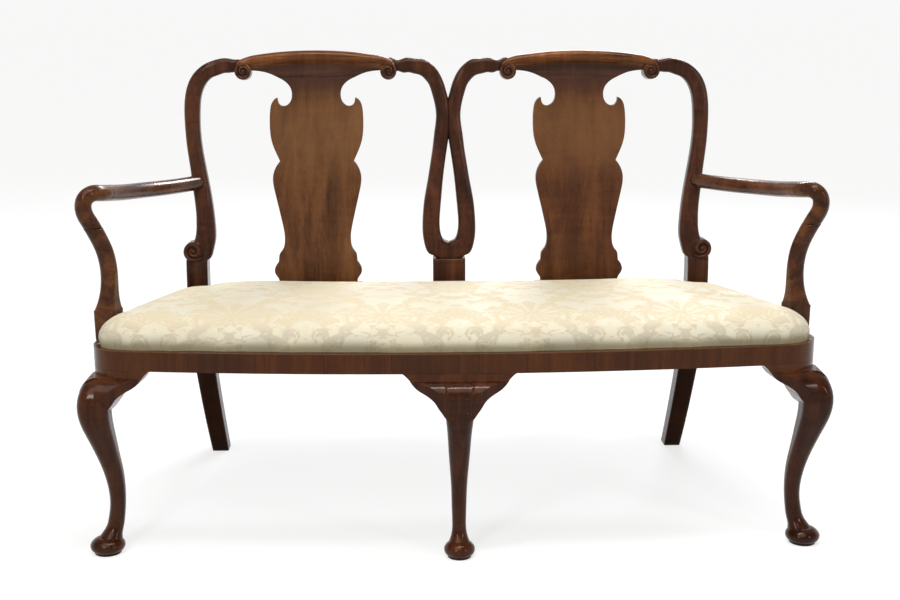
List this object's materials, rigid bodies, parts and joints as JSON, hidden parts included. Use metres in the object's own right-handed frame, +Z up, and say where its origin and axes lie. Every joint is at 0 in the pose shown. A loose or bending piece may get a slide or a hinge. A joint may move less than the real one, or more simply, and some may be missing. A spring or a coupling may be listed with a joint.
{
  "type": "chairback settee",
  "caption": "Two-seat open-arm settee with twin vase-splat chair backs, scrolled crests, crook arms, cabriole pad-foot legs and a lift-out upholstered drop-in seat.",
  "frame": {"origin": "middle of the settee's bounding box, on the floor", "axes": "+X to the right along the seat as seen from the front, +Y from the front of the seat to the back, +Z up"},
  "size_m": [1.4868, 0.709, 0.9451],
  "materials": {
    "walnut": "waxed polish",
    "crest_walnut": "waxed polish",
    "figured_walnut": "waxed polish",
    "cross_walnut": "waxed polish",
    "beech": "plain planed",
    "steel": "dull",
    "webbing": "jute",
    "hessian": "jute",
    "stuffing": "curled hair and wadding",
    "damask": "silk damask"
  },
  "bodies": {
    "frame": {"left_rear_post": "walnut", "right_rear_post": "walnut", "left_inner_stile": "walnut", "right_inner_stile": "walnut", "centre_back_post": "walnut", "left_arm": "walnut", "right_arm": "walnut", "left_arm_support": "walnut", "right_arm_support": "walnut", "left_splat_shoe": "walnut", "right_splat_shoe": "walnut", "left_front_leg": "walnut", "right_front_leg": "walnut", "centre_front_leg": "walnut", "left_leg_front_bracket": "walnut", "right_leg_front_bracket": "walnut", "left_leg_side_bracket": "walnut", "right_leg_side_bracket": "walnut", "left_centre_bracket": "walnut", "right_centre_bracket": "walnut", "front_seat_rail": "walnut", "left_side_rail": "walnut", "right_side_rail": "walnut", "rear_seat_rail": "walnut", "left_crest_rail": "crest_walnut", "right_crest_rail": "crest_walnut", "left_splat": "figured_walnut", "right_splat": "figured_walnut", "rail_facing": "cross_walnut", "seat_brace": "beech", "corner_blocks": "beech", "arm_dowels": "beech", "frame_screws": "steel"},
    "drop_in_seat": {"slip_front_rail": "beech", "left_slip_side_rail": "beech", "right_slip_side_rail": "beech", "slip_rear_rail": "beech", "slip_middle_bar": "beech", "seat_webbing": "webbing", "webbing_tacks": "steel", "seat_hessian": "hessian", "seat_stuffing": "stuffing", "seat_cover": "damask"}
  },
  "joints": [
    {"name": "seat_lift", "type": "slide", "parent": "frame", "child": "drop_in_seat", "axis": [0, 0, 1], "range_m": [0, 0.12]}
  ]
}
